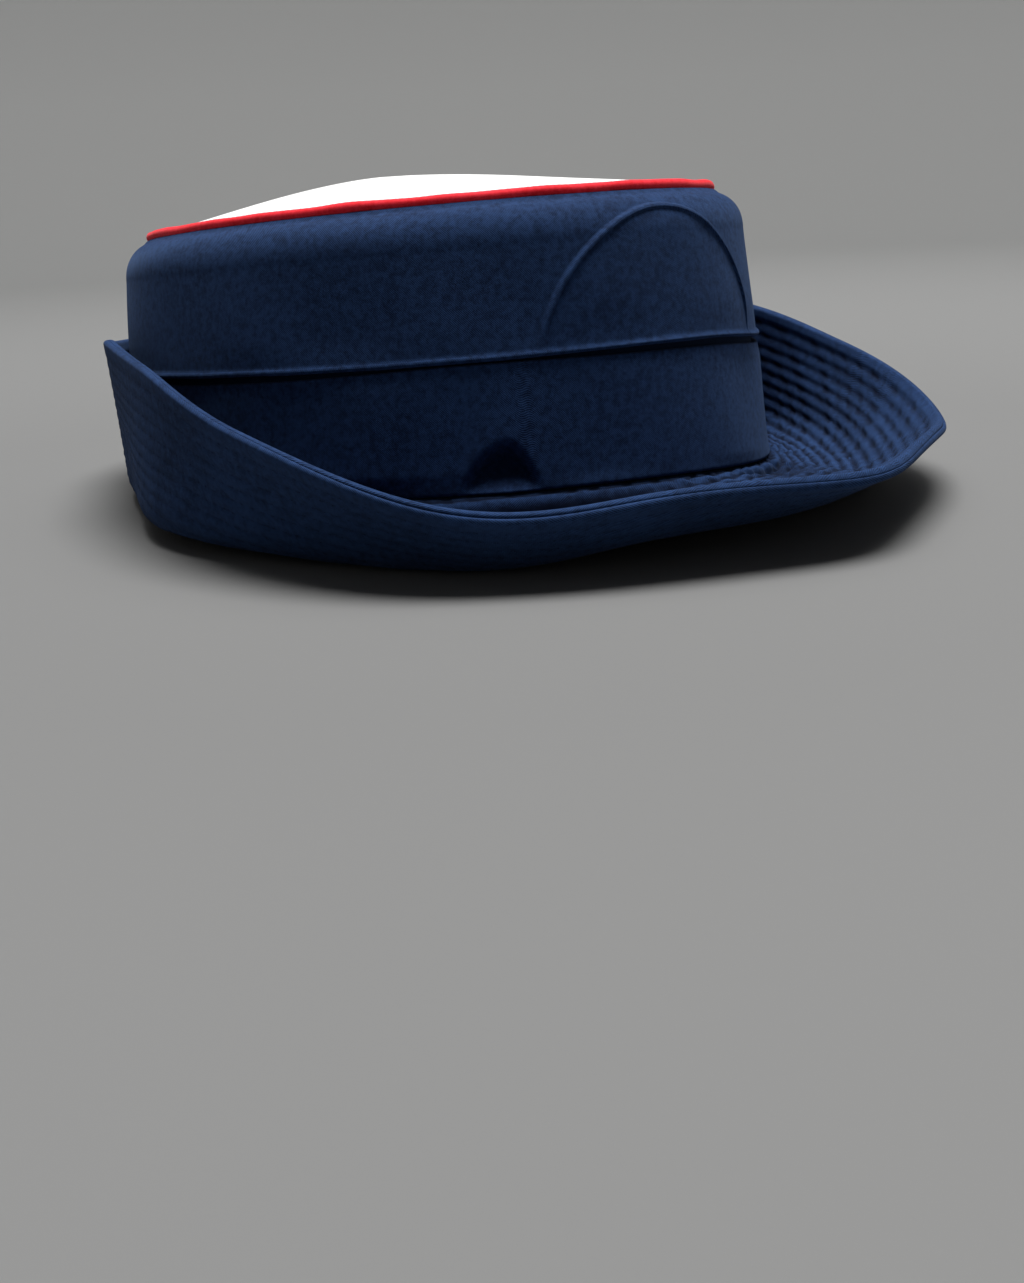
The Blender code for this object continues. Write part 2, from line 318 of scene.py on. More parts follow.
def soft_noise(seed, waves, place, height=0.0, pitch=1.0):
    """Sum of cosines with seeded phases: whole waves round the hat, and slow waves of this pitch up it."""
    dice = np.random.default_rng(seed)
    phases = dice.uniform(0, 2 * np.pi, len(waves))
    climbs = dice.uniform(-1, 1, len(waves)) * 2 * np.pi / pitch
    draws = zip(waves, climbs, phases)
    total = sum(np.cos(wave * place + climb * height + phase) for wave, climb, phase in draws)
    return total / np.sqrt(len(waves))


def bell(value):
    return np.exp(-(value**2))


def smooth_step(value):
    value = np.clip(value, 0, 1)
    return value**2 * (3 - 2 * value)


# Meshes


def ring_faces(rows, columns, closed_section):
    index = np.arange(rows * columns).reshape(rows, columns)
    if closed_section:
        index = np.vstack([index, index[:1]])
    ahead = np.roll(index, -1, axis=1)
    return np.stack([index[:-1], ahead[:-1], ahead[1:], index[1:]], axis=-1).reshape(-1, 4)


def add_object(name, data):
    made = bpy.data.objects.new(name, data)
    bpy.context.scene.collection.objects.link(made)
    return made


def add_piece(name, points, faces, material, weave=None, crease=None):
    """A mesh piece from points in the hat's frame.

    weave is the cloth's own (along, across) in metres for each corner of each face.
    """
    mesh = bpy.data.meshes.new(name)
    mesh.from_pydata(in_world(points.reshape(-1, 3)).tolist(), [], [list(map(int, face)) for face in faces])
    if weave is not None:
        layer = mesh.uv_layers.new(name="weave")
        layer.data.foreach_set("uv", weave.astype(np.float32).ravel())
    mesh.validate()
    mesh.shade_smooth()
    if crease is not None:
        mesh.set_sharp_from_angle(angle=crease)
    mesh.materials.append(material)
    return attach(add_object(name, mesh), BODY)


def add_attribute(piece, name, values):
    """A number for each point of a piece, for its material to read."""
    layer = piece.data.attributes.new(name, "FLOAT", "POINT")
    layer.data.foreach_set("value", values.astype(np.float32).ravel())


def ring_weave(points, faces, place):
    """Cloth coordinates of a ring piece: its distances round the hat at the seam and along the section."""
    rows, columns = len(points), len(place)
    walked = np.zeros((rows + 1, columns))
    steps = np.linalg.norm(np.roll(points, -1, axis=0) - points, axis=-1)
    walked[1:] = np.cumsum(steps, axis=0)
    girth = np.pi * (HALF_LENGTH + HALF_WIDTH)
    row, column = np.divmod(faces, columns)
    last_row = (row == 0) & (row.max(axis=1, keepdims=True) == rows - 1)
    last_column = (column == 0) & (column.max(axis=1, keepdims=True) == columns - 1)
    along = (place[column] / (2 * np.pi) + last_column) * girth
    across = walked[row + rows * last_row, column]
    return np.stack([along, across], axis=-1)


def add_ring(name, points, place, material):
    """A closed section carried round the hat: points are rows of the section by places round the hat."""
    faces = ring_faces(len(points), len(place), closed_section=True)
    return add_piece(name, points, faces, material, ring_weave(points, faces, place))


def unit(vectors):
    return vectors / np.maximum(np.linalg.norm(vectors, axis=-1, keepdims=True), 1e-9)


def along_line(stops, walked, values):
    """Values of a line's points, read at stops along it."""
    return np.stack([np.interp(stops, walked, values[:, k]) for k in range(3)], axis=-1)


def add_stitches(name, runs, stitch, material):
    """Thread stitches along closed or open runs of (points, normals), as one mesh of small bent rods.

    Each stitch is STITCH_RINGS rings of as many points. With u from -1 to 1 along it, its radius is that of
    the thread times (1.02 - u^4)^(1/2), and it dips into the cloth by the thread's radius times 0.5 + u^2.
    """
    centres, ways, normals = [], [], []
    for line, normal in runs:
        steps = np.linalg.norm(np.diff(line, axis=0), axis=-1)
        walked = np.concatenate([[0], np.cumsum(steps)])
        stops = np.arange(stitch.pitch / 2, walked[-1], stitch.pitch)
        quarter = stitch.length / 4
        centres.append(along_line(stops, walked, line))
        ahead, behind = (along_line(stops + step, walked, line) for step in (quarter, -quarter))
        ways.append(unit(ahead - behind))
        normals.append(unit(along_line(stops, walked, normal)))
    centres, ways, normals = (np.concatenate(group) for group in (centres, ways, normals))
    sides = unit(np.cross(ways, normals))
    u = np.linspace(-1, 1, STITCH_RINGS)
    turn = np.linspace(0, 2 * np.pi, STITCH_RINGS, endpoint=False)
    radius = stitch.diameter / 2 * np.sqrt(1.02 - u**4)
    dip = (0.5 + u**2) * stitch.diameter / 2
    reach = (u * stitch.length / 2)[:, None]
    along = centres[:, None] + ways[:, None] * reach - normals[:, None] * dip[:, None]
    ring = np.cos(turn)[:, None] * sides[:, None, None] + np.sin(turn)[:, None] * normals[:, None, None]
    points = along[:, :, None] + radius[:, None, None] * ring
    base = np.arange(STITCH_RINGS**2).reshape(STITCH_RINGS, STITCH_RINGS)
    ahead = np.roll(base, -1, axis=1)
    quads = np.stack([base[:-1], base[1:], ahead[1:], ahead[:-1]], axis=-1).reshape(-1, 4)
    caps = np.stack([base[0], base[-1][::-1]])
    shift = base.size * np.arange(len(centres))[:, None, None]
    faces = [*(quads[None] + shift).reshape(-1, 4), *(caps[None] + shift).reshape(-1, STITCH_RINGS)]
    return add_piece(name, points, faces, material)


# Materials


def node(tree, kind, sockets=None, **settings):
    """A shader node with these settings; a socket's value is a number, a colour or another node's output."""
    made = tree.nodes.new(kind)
    for name, value in settings.items():
        setattr(made, name, value)
    for socket, value in (sockets or {}).items():
        if isinstance(value, bpy.types.NodeSocket):
            tree.links.new(value, made.inputs[socket])
        else:
            made.inputs[socket].default_value = value
    return made


def maths(tree, operation, *values):
    return node(tree, "ShaderNodeMath", dict(enumerate(values)), operation=operation).outputs[0]


def wave(tree, distance, pitch):
    """Sine of a distance in metres with this pitch, from 0 to 1."""
    turned = maths(tree, "SINE", maths(tree, "MULTIPLY", distance, 2 * np.pi / pitch))
    return maths(tree, "MULTIPLY_ADD", turned, 0.5, 0.5)


def new_material(name, roughness, specular):
    """A material with its node tree and its shader."""
    material = bpy.data.materials.new(name)
    material.use_nodes = True
    shader = material.node_tree.nodes["Principled BSDF"]
    shader.inputs["Roughness"].default_value = roughness
    shader.inputs["Specular IOR Level"].default_value = specular
    return material, material.node_tree, shader


def colour_by_tone(tree, shader, tone, dark, light, start=0.0, end=1.0):
    """Colours the shader from dark where the tone is start to light where it is end."""
    ramp = node(tree, "ShaderNodeValToRGB", {0: tone})
    ramp.color_ramp.elements[0].position = start
    ramp.color_ramp.elements[0].color = (*dark, 1)
    ramp.color_ramp.elements[1].position = end
    ramp.color_ramp.elements[1].color = (*light, 1)
    tree.links.new(ramp.outputs["Color"], shader.inputs["Base Color"])


def raise_by(tree, shader, height, strength, distance):
    bump = node(tree, "ShaderNodeBump", {"Height": height, "Strength": strength, "Distance": distance})
    tree.links.new(bump.outputs["Normal"], shader.inputs["Normal"])


def cloth_material(
    name, dark, light, pitch, slant, rib, sheen, sheen_tint, roughness=0.9, mottling=1.7, painted_shade=0.0
):
    """Woven cloth: ribs at a slant across the yarns, each yarn's own small rise, and slow uneven tone.

    The height is rib times the slanted sine plus a quarter of the two crossed yarn sines, and fibres. The
    colour goes from dark to light by the height, a slow noise of wear and small spots of strength mottling.
    Shade is painted where the piece's point attribute asks for it, in stitch grooves, seams, falls and
    dents: there the tone falls by up to the given strength.
    """
    material, tree, shader = new_material(name, roughness, specular=0.1)
    weave = node(tree, "ShaderNodeUVMap", uv_map="weave").outputs["UV"]
    split = node(tree, "ShaderNodeSeparateXYZ", {0: weave})
    x, y = split.outputs["X"], split.outputs["Y"]
    body = node(tree, "ShaderNodeTexCoord").outputs["Object"]
    fuzz = node(tree, "ShaderNodeTexNoise", {"Vector": body, "Scale": 900.0, "Detail": 3.0}).outputs["Fac"]
    cloud = node(tree, "ShaderNodeTexNoise", {"Vector": body, "Scale": 38.0, "Detail": 4.0, "Roughness": 0.6})
    wear = maths(tree, "MULTIPLY", cloud.outputs["Fac"], 0.4)
    slanted = maths(tree, "ADD", x, maths(tree, "MULTIPLY", y, slant))
    ribs = wave(tree, maths(tree, "ADD", slanted, maths(tree, "MULTIPLY", fuzz, pitch * 0.5)), pitch)
    yarns = maths(tree, "MULTIPLY", wave(tree, x, pitch * 0.5), wave(tree, y, pitch * 0.5))
    height = maths(tree, "ADD", maths(tree, "MULTIPLY", ribs, rib), maths(tree, "MULTIPLY", yarns, 0.25))
    height = maths(tree, "ADD", height, maths(tree, "MULTIPLY", fuzz, 0.5))
    grain = {"Vector": body, "Scale": 520.0, "Detail": 5.0, "Roughness": 0.75}
    mottle = node(tree, "ShaderNodeTexNoise", grain).outputs["Fac"]
    spots = maths(tree, "MULTIPLY", maths(tree, "SUBTRACT", mottle, 0.5), mottling)
    tone = maths(tree, "ADD", maths(tree, "MULTIPLY", height, 0.6), wear)
    tone = maths(tree, "ADD", tone, spots)
    # Painted shade: the tone falls by the piece's shade attribute times this strength.
    if painted_shade:
        depth = node(tree, "ShaderNodeAttribute", attribute_name="painted_shade").outputs["Fac"]
        tone = maths(tree, "SUBTRACT", tone, maths(tree, "MULTIPLY", depth, painted_shade))
    colour_by_tone(tree, shader, tone, dark, light, start=0.25, end=0.85)
    raise_by(tree, shader, height, strength=0.35, distance=pitch * 0.35)
    shader.inputs["Sheen Weight"].default_value = sheen
    shader.inputs["Sheen Roughness"].default_value = 0.45
    shader.inputs["Sheen Tint"].default_value = (*sheen_tint, 1)
    return material


def thread_material(name, colour):
    """Thread of one colour, a quarter darker to a fifth lighter in its fine grain."""
    material, tree, shader = new_material(name, roughness=0.8, specular=0.1)
    body = node(tree, "ShaderNodeTexCoord").outputs["Object"]
    grain = node(tree, "ShaderNodeTexNoise", {"Vector": body, "Scale": 1400.0, "Detail": 2.0}).outputs["Fac"]
    colour_by_tone(tree, shader, grain, 0.75 * np.array(colour), 1.2 * np.array(colour))
    raise_by(tree, shader, grain, strength=0.3, distance=0.1 * MM)
    return material


def floor_material():
    """Plain pale floor that grows a little paler away from the hat."""
    material, tree, shader = new_material("pale floor", roughness=0.8, specular=0.2)
    body = node(tree, "ShaderNodeTexCoord").outputs["Object"]
    split = node(tree, "ShaderNodeSeparateXYZ", {0: body})
    level = node(tree, "ShaderNodeCombineXYZ", {0: split.outputs["X"], 1: split.outputs["Y"]})
    away = node(tree, "ShaderNodeVectorMath", {0: level.outputs[0]}, operation="LENGTH").outputs["Value"]
    tone = maths(tree, "MULTIPLY", away, 0.4)
    colour_by_tone(tree, shader, tone, (0.165, 0.165, 0.163), (0.36, 0.36, 0.355), start=0.08, end=0.9)
    return material


# Brim


def brim_value(column, place):
    """A column of the brim's table at any place: a smooth curve through its rows, mirrored front and back."""
    values = np.array([getattr(row, column) for row in BRIM_ROWS], float)
    mirrored = np.concatenate([values[1:2], values, values[-2:-1]])
    turned = np.abs(from_front(place))
    steps = turned / np.radians(BRIM_ROWS[1].place)
    row = np.minimum(np.floor(steps + 1e-9).astype(int), len(values) - 2)
    u = steps - row
    before, start, end, after = (mirrored[row + k] for k in range(4))
    bend = 2 * before - 5 * start + 4 * end - after
    twist = 3 * (start - end) + after - before
    return start + u / 2 * (end - before + u * (bend + u * twist))


def brim_width(place):
    """Table width plus the point in front, which is a bell curve of the place."""
    return BRIM_WIDTH * brim_value("width", place) + POINT_LENGTH * bell(from_front(place) / POINT_SPREAD)


def band_flare(place):
    """How far the band's foot stands out from the middle seam: all of it in front, nothing at the back."""
    return BAND_FLARE * (1 + np.cos(place)) / 2


def foot_sag(place):
    return FOOT_SAG * bell((from_front(place) - FOOT_SAG_PLACE) / FOOT_SAG_SPREAD)


def foot_height(place):
    """Height of the line where band and brim meet, lifted towards the back and sagging left of the front."""
    return -BAND_HEIGHT + BACK_LIFT * (1 - np.cos(place)) / 2 - foot_sag(place)


def brim_sink(place, walked):
    """Steep falls a little out from the brim's foot, each at its own place, and a slow return from them."""
    turned = np.degrees(from_front(place))
    depth = sum(fall.depth * bell((turned - fall.place) / fall.spread) for fall in FALLS)
    down = smooth_step((walked - FALL_START) / FALL_REACH)
    back = smooth_step((walked - FALL_END) / FALL_RETURN)
    return depth * down * (1 - back)


def rim_sag(place, walked):
    """How far the outer half of the brim hangs lower, all of it at the rim."""
    outer = smooth_step((walked / brim_width(place) - RIM_SAG_START) / RIM_SAG_REACH)
    return RIM_SAG * bell((from_front(place) - RIM_SAG_PLACE) / RIM_SAG_SPREAD) * outer


def brim_walk(place, steps):
    """Upper face of the brim in section and its normals, as (out, up), by steps along it and by place.

    The heading is -dip + (dip + rise) * smooth step of the distance across the roll; its sums are the path.
    """
    dip, rise = (np.radians(brim_value(column, place)) for column in ("dip", "rise"))
    fold, roll = (BRIM_WIDTH * brim_value(column, place) for column in ("fold", "roll"))
    walked = np.linspace(0, 1, steps * SUBSTEPS + 1)[:, None] * brim_width(place)
    slope = (dip + rise) * smooth_step((walked - fold) / roll + 0.5) - dip
    heading = np.stack([np.cos(slope), np.sin(slope)], axis=-1)
    path = np.zeros_like(heading)
    path[1:] = np.cumsum((heading[1:] + heading[:-1]) / 2 * np.diff(walked, axis=0)[..., None], axis=0)
    path += np.stack([band_flare(place) + GAP, foot_height(place)], axis=-1)
    path[..., 1] += foot_sag(place) * smooth_step(walked / SAG_REACH) - brim_sink(place, walked)
    path[..., 1] -= rim_sag(place, walked)
    way = unit(np.gradient(path, axis=0))
    normal = np.stack([-way[..., 1], way[..., 0]], axis=-1)
    return path[::SUBSTEPS], normal[::SUBSTEPS], walked[::SUBSTEPS]


def brim_places():
    return places(BRIM_PLACES, 0.42)


def row_count(place, walked):
    """Stitch rows counted inwards from the rim: a whole number on each row, and below 0 outside them."""
    pitch = (brim_width(place) - RIM_MARGIN) / STITCH_ROWS
    wander = ROW_WANDER * soft_noise(3, (5, 9, 14), place)
    return (brim_width(place) - RIM_MARGIN - walked) / pitch + wander


def row_waves(place, row, waves, seed):
    """Sum of cosines round the brim, shifted a little further along with each row, each with some jitter."""
    dice = np.random.default_rng(seed)
    base = dice.uniform(0, 2 * np.pi, len(waves))
    jitter = ROW_JITTER * dice.uniform(-1, 1, (STITCH_ROWS + 2 * SPARE_ROWS, len(waves)))[row + SPARE_ROWS]
    slanted = (place + ROW_SLANT * row)[..., None]
    return np.cos(waves * slanted + base + jitter).sum(axis=-1) / np.sqrt(len(waves))


def gathering(place):
    """How strongly the brim is gathered: more left of the front, and less right of it, where it is taut."""
    turned = from_front(place)
    more = GATHER_CHANGE * bell((turned - GATHER_PLACE) / GATHER_SPREAD)
    less = GATHER_CHANGE * bell((turned - CALM_PLACE) / CALM_SPREAD)
    return GATHER_PLAIN + more - less


def quilting(place, walked, seed):
    """How far the cloth puffs up between its stitch rows, and how deep it is tucked in at them.

    Across a row the puff is |sin|^0.7 of the row count, and it swells and shrinks along the row with seeded
    waves that slant across it. At each row of stitches (1 - |sin|)^2.2 sinks by short tucks, where its waves
    are above a level. Both grow towards the band, where the brim is gathered. A depth d becomes
    D (1 - e^(-d / D)), so that no tuck is deeper than D. The second result is painted shade in the grooves at
    the stitch rows, from 0 to about 1.
    """
    count = row_count(place, walked)
    row = np.floor(count).astype(int)
    nearest = np.round(count).astype(int)
    inward = np.clip(count / STITCH_ROWS, 0, 1)
    gathered = gathering(place)
    arch = np.abs(np.sin(np.pi * count))
    swell = row_waves(place + SWELL_SLANT * (count - row), row, PUCKER_WAVES, seed)
    short = row_waves(place + SWELL_SLANT * (count - nearest), nearest, TUCK_WAVES, seed + 1)
    tuck = smooth_step((short - TUCK_LEVEL) / TUCK_RANGE) * (1 + 0.3 * np.clip(short, 0, 2))
    puff = arch**0.7 * (1 + (0.18 + 0.24 * inward) * gathered * swell) - 0.5
    sink = (1 - arch) ** 2.2 * tuck
    relief = QUILT_AT_RIM + (QUILT_AT_FOOT - QUILT_AT_RIM) * inward
    depth = TUCK_AT_RIM + (TUCK_AT_FOOT - TUCK_AT_RIM) * inward * gathered + RIM_TUCK * (nearest == 0)
    outside = smooth_step(-count * 1.8)
    rim = relief * (outside - 0.5) + RIM_PUFF * outside - RIM_TUCK * bell(count / 0.25) * tuck
    hollow = HOLLOW_DEPTH * bell((count - HOLLOW_ROW) / HOLLOW_ROWS)
    hollow = hollow * bell((from_front(place) - HOLLOW_PLACE) / HOLLOW_SPREAD)
    height = np.where(count < 0, rim, relief * puff - depth * sink) - hollow
    height = np.maximum(height, 0) + DEEPEST_TUCK * np.expm1(np.minimum(height, 0) / DEEPEST_TUCK)
    # Painted shade in the grooves of the stitch rows: more where the tucks are, and more towards the band.
    painted_shade = (1 - arch) ** 0.9 * (0.45 + 0.55 * np.clip(tuck, 0, 1)) * (0.6 + 0.8 * inward)
    return height, painted_shade * (count > -0.5)


def press_flat(points):
    """What lifts each point out of the ground: (sqrt(h^2 + r^2) - h) / 2 for height h and rounding r."""
    height = in_world(points)[..., 2]
    return (np.sqrt(height**2 + PRESS_ROUNDING**2) - height) / 2


def brim_ply(side):
    """One ply of the brim as a closed section: quilted face, rounded edge and the plain face that is hidden.

    side is 1 for the upper ply and -1 for the lower. The ply lies between the brim's middle and its face, and
    the upper one has a seam allowance that goes in under the band. The second result is each point's painted
    shade: in the stitch grooves, and on the steep falls near the brim's foot.
    """
    place = brim_places()
    path, normal, walked = brim_walk(place, BRIM_STEPS)
    ply = BRIM_THICKNESS / 2
    quilt, painted_shade = quilting(place, walked, seed=11 if side > 0 else 12)
    # The under ply's quilting is lower, and its painted shade lighter.
    if side < 0:
        quilt, painted_shade = UNDER_QUILT * quilt, UNDER_SHADE * UNDER_QUILT * painted_shade
    # Painted shade on the steep falls close to the brim's foot, by how far the brim has sunk there.
    painted_shade = np.maximum(painted_shade, brim_sink(place, walked) / FALLS[0].depth)
    middle = path - ply * normal
    face = middle + side * normal * (ply + quilt)[..., None]
    inner = middle + side * normal * PLY_GAP
    turn = np.linspace(0, 1, EDGE_STEPS + 1)[1:, None] * np.pi / 2
    way = np.stack([normal[-1, :, 1], -normal[-1, :, 0]], axis=-1)
    depth = PLY_GAP + np.cos(turn) * (ply + quilt[-1] - PLY_GAP)
    bulge = EDGE_BULGE * np.sin(turn) ** 0.8 - edge_groove(place) * bell(depth / EDGE_GROOVE_WIDTH)
    edge = middle[-1] + side * normal[-1] * depth[..., None] + bulge[..., None] * way
    hidden = np.linspace(BRIM_STEPS - 3, 0, HIDDEN_STEPS).astype(int)
    allowance = path[0] + ALLOWANCE[:, None] if side > 0 else path[:0]
    section = np.concatenate([face, edge, inner[hidden], allowance])
    points = around(place, section[..., 0], section[..., 1])
    under = middle - normal * ply
    need = press_flat(around(place, under[..., 0], under[..., 1]))
    at_edge, at_foot = np.full(EDGE_STEPS, BRIM_STEPS), np.zeros(len(allowance), int)
    row = np.concatenate([np.arange(len(face)), at_edge, hidden, at_foot])
    shade = np.concatenate([painted_shade, np.zeros((len(points) - len(face), len(place)))])
    return points + need[row][..., None] * AXES[2], shade


def edge_groove(place):
    """Depth of the groove where the plies meet along the edge: shallow, and deeper beside the front."""
    turned = np.degrees(np.abs(from_front(place)))
    more = EDGE_GROOVE_MORE * bell((turned - EDGE_GROOVE_PLACE) / EDGE_GROOVE_SPREAD)
    return (EDGE_GROOVE_LEAST + more) * MM


def add_brim(material, thread):
    for name, side in (("brim_upper_ply", 1), ("brim_under_ply", -1)):
        points, painted_shade = brim_ply(side)
        piece = add_ring(name, points, brim_places(), material)
        # The ply's painted shade, for its material to darken by.
        add_attribute(piece, "painted_shade", painted_shade)
        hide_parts("brim")
    for name, side in (("brim_upper_stitches", 1), ("brim_under_stitches", -1)):
        add_stitches(name, brim_runs(side), BRIM_STITCH, thread)


def brim_runs(side):
    """The stitch rows of one ply as lines with normals, from the ply's face where the row count is whole."""
    points = brim_ply(side)[0][: BRIM_STEPS + 1]
    place = brim_places()
    _, _, walked = brim_walk(place, BRIM_STEPS)
    count = row_count(place, walked)
    way_out = np.gradient(points, axis=0)
    way_round = np.roll(points, -1, axis=1) - np.roll(points, 1, axis=1)
    normal = -side * unit(np.cross(way_round, way_out))
    column = np.arange(BRIM_PLACES)
    runs = []
    for row in range(STITCH_ROWS):
        below = np.clip((count > row).sum(axis=0) - 1, 0, BRIM_STEPS - 1)
        high, low = count[below, column], count[below + 1, column]
        share = np.clip((high - row) / (high - low), 0, 1)[:, None]
        line = points[below, column] * (1 - share) + points[below + 1, column] * share
        tilt = normal[below, column]
        runs.append((np.vstack([line, line[:1]]), np.vstack([tilt, tilt[:1]])))
    return runs


# Crown


def side_out(up):
    """How far out the upper wall's face is at a height: a straight taper, then a quarter of an oval."""
    taper = SIDE_TAPER * np.clip(up / SHOULDER_START, 0, 1)
    climb = np.clip((up - SHOULDER_START) / SHOULDER_HEIGHT, 0, 1)
    return -taper - SHOULDER_WIDTH * (1 - np.sqrt(1 - climb**2))


def fold_arc(centre, start, end, radius, count):
    """Points of a small round fold, from one angle in degrees to another, as (out, up)."""
    turn = np.radians(np.linspace(start, end, count))
    return np.stack([centre[0] + radius * np.cos(turn), centre[1] + radius * np.sin(turn)], axis=-1)


def side_swell(place, up):
    """What the upper wall's cloth adds to its plain face: slow waves, and a flare over the welt."""
    quiet = smooth_step(up / CALM_AT_SEAM) * smooth_step((LIP_HEIGHT - up) / CALM_AT_LIP)
    waves = SIDE_WAVE * soft_noise(21, (3, 5, 8, 11, 14), place, up, SIDE_WAVE_PITCH)
    return quiet * waves + SEAM_FLARE * bell((up - SEAM_BEAD) / SEAM_BEAD_HEIGHT)


def add_crown_side(material):
    """Upper wall: a small fold on the welt, the tapered wall, the shoulder, and the lip under the piping."""
    place = crown_places()
    start = side_out(SEAM_FOOT) - SEAM_FOLD, SEAM_FOOT + SEAM_FOLD
    fold = fold_arc(start, -90, 0, SEAM_FOLD, 5)
    straight = start[1] + (SHOULDER_START - start[1]) * np.linspace(0, 1, SIDE_STEPS)[1:-1] ** 1.4
    turn = np.linspace(0, np.pi / 2, SHOULDER_STEPS)
    up = np.concatenate([straight, SHOULDER_START + SHOULDER_HEIGHT * np.sin(turn)])
    face = np.concatenate([fold, np.stack([side_out(up), up], axis=-1)])
    face[:, 1] += PIPING_SEAT * bell((face[:, 0] + PIPING_INSET - SEAT_PLACE) / SEAT_SPREAD)
    lip = np.array([[-TOP_INSET - SEAM_MARGIN, LIP_HEIGHT]])
    lip_under = lip - [0, CROWN_WALL]
    inner_up = SHOULDER_START + (SHOULDER_HEIGHT - CROWN_WALL) * np.sin(turn[::-3])
    inner_out = -SIDE_TAPER - CROWN_WALL - (SHOULDER_WIDTH - CROWN_WALL) * (1 - np.cos(turn[::-3]))
    inner = np.stack([inner_out, inner_up], axis=-1)
    foot = np.array([[start[0] - CROWN_WALL, start[1]]])
    section = np.concatenate([face, lip, lip_under, inner, foot])[:, None]
    up = section[..., 1]
    points = crown_point(place, section[..., 0] + side_swell(place, up), up)
    piece = add_ring("crown_side_cloth", points, place, material)
    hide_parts("crown_side")


def dent(place, up):
    """Depth of the soft dent low on the band, less the bulge under it.

    Its upper edge is an arch, top - arch * across^2, steeper on its left. Under the edge it falls in over the
    brink's height, and it comes out again over the floor's height.
    """
    place = from_front(place)
    turned = place - DENT_PLACE
    across = turned / np.where(turned < 0, DENT_REACH[0], DENT_REACH[1])
    below = DENT_TOP - DENT_ARCH * across**2 - up
    brink = smooth_step(below / DENT_BRINK) ** 1.6
    hollow = DENT_DEPTH * brink * smooth_step((up - DENT_BOTTOM) / DENT_FLOOR)
    bulge = bell((place - BULGE_PLACE) / BULGE_SPREAD[0]) * bell((up - BULGE_HEIGHT) / BULGE_SPREAD[1])
    return hollow - BULGE_PROUD * bulge


def groove_foot(place):
    """Depth of the band's upper edge under the seam: the groove over it is narrower right of the front."""
    return GROOVE_FOOT - GROOVE_CLOSING * bell((from_front(place) - GROOVE_PLACE) / GROOVE_SPREAD)


def add_crown_band(material):
    """Lower wall: a flared face, a round hem at its foot, and a rounded lip at the groove under the welt."""
    place = crown_places()
    lip_up = -groove_foot(place)
    foot = foot_height(place) + HEM_LIFT
    low = foot + HEM_RADIUS
    up = low + np.linspace(0, 1, BAND_STEPS)[:, None] * (lip_up - low)
    face = np.stack([up / foot * band_flare(place), up], axis=-1)
    hem = fold_arc((-HEM_RADIUS, HEM_RADIUS), -90, -15, HEM_RADIUS, 6)[:, None]
    hem = hem + np.stack([face[0, :, 0], foot], axis=-1)
    inner_foot = np.stack([face[0, :, 0] - CROWN_WALL, foot + HEM_RADIUS], axis=-1)[None]
    inner = face[-4:0:-4] - [CROWN_WALL, 0]
    roll = fold_arc((-LIP_RADIUS, 0), 18, 110, LIP_RADIUS, 6)
    groove = np.array([
        [-0.8 * GROOVE_DEPTH, 0.1 * LIP_RADIUS],
        [-GROOVE_DEPTH, 0.6 * LIP_RADIUS],
        [-GROOVE_DEPTH, GROOVE_FOOT + CROWN_WALL],
        [-GROOVE_DEPTH - 0.8 * CROWN_WALL, GROOVE_FOOT + CROWN_WALL],
        [-GROOVE_DEPTH - 0.8 * CROWN_WALL, -CROWN_WALL],
    ])
    above = np.concatenate([roll, groove])[:, None] + np.stack([face[-1, :, 0], lip_up], axis=-1)
    section = np.concatenate([inner_foot, hem, face, above, inner])
    out, up = section[..., 0], section[..., 1]
    quiet = smooth_step((up - foot) / CALM_AT_FOOT) * smooth_step((lip_up - up) / CALM_AT_LIP)
    waves = BAND_WAVE * soft_noise(22, (4, 7, 9, 13, 17), place, up, BAND_WAVE_PITCH)
    pull = PULL_DEPTH * bell((from_front(place) - PULL_PLACE) / PULL_SPREAD)
    pull = pull * (1 - smooth_step((up - foot) / PULL_HEIGHT))
    dented = dent(place, up)
    points = crown_point(place, out + quiet * waves - dented - pull, up)
    piece = add_ring("crown_band_cloth", points, place, material)
    # Painted shade: under the hem, in the groove under the welt, in the dent, and on the foot where the brim
    # stands close to the band.
    at_foot = [np.zeros(1), np.linspace(1, 0, len(hem)), np.zeros(len(face))]
    at_seam = [np.linspace(0, 1, len(roll)), np.ones(len(groove)), np.zeros(len(inner))]
    crease = np.concatenate([*at_foot, *at_seam])[:, None]
    hollow = np.clip(dented / DENT_DEPTH, 0, 1) + pull / PULL_DEPTH
    add_attribute(piece, "painted_shade", np.maximum(crease, DENT_SHADE * np.clip(hollow, 0, 1)))
    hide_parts("crown_band")


def cord_points(place, out, up, diameter, sides, seed, rib, ribs):
    """A covered cord: a circle whose radius swells a little and carries slanted ribs of its cover."""
    turn = np.linspace(0, 2 * np.pi, sides, endpoint=False)[:, None]
    swell = 1 + CORD_SWELL * soft_noise(seed, (9, 17, 26, 41), place)
    radius = diameter / 2 * swell + rib * np.cos(ribs * place + 2 * turn)
    drift = CORD_DRIFT * diameter * soft_noise(seed + 1, (6, 13, 22), place)
    return crown_point(place, out + radius * np.cos(turn), up + drift + radius * np.sin(turn))


def add_welt(material):
    place = crown_places()
    out = WELT_PROUD - WELT_CLOTH / 2
    points = cord_points(place, out, WELT_RAISE, WELT_CLOTH, sides=14, seed=31, rib=0.01 * MM, ribs=160)
    piece = add_ring("welt_cloth", points, place, material)
    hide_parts("band_welt")


def add_piping(material):
    place = places(PIPING_PLACES)
    points = cord_points(
        place, -PIPING_INSET, SIDE_HEIGHT, PIPING_DIAMETER, sides=18, seed=33, rib=0.025 * MM, ribs=300
    )
    piece = add_ring("piping_cord", points, place, material)
    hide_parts("top_piping")


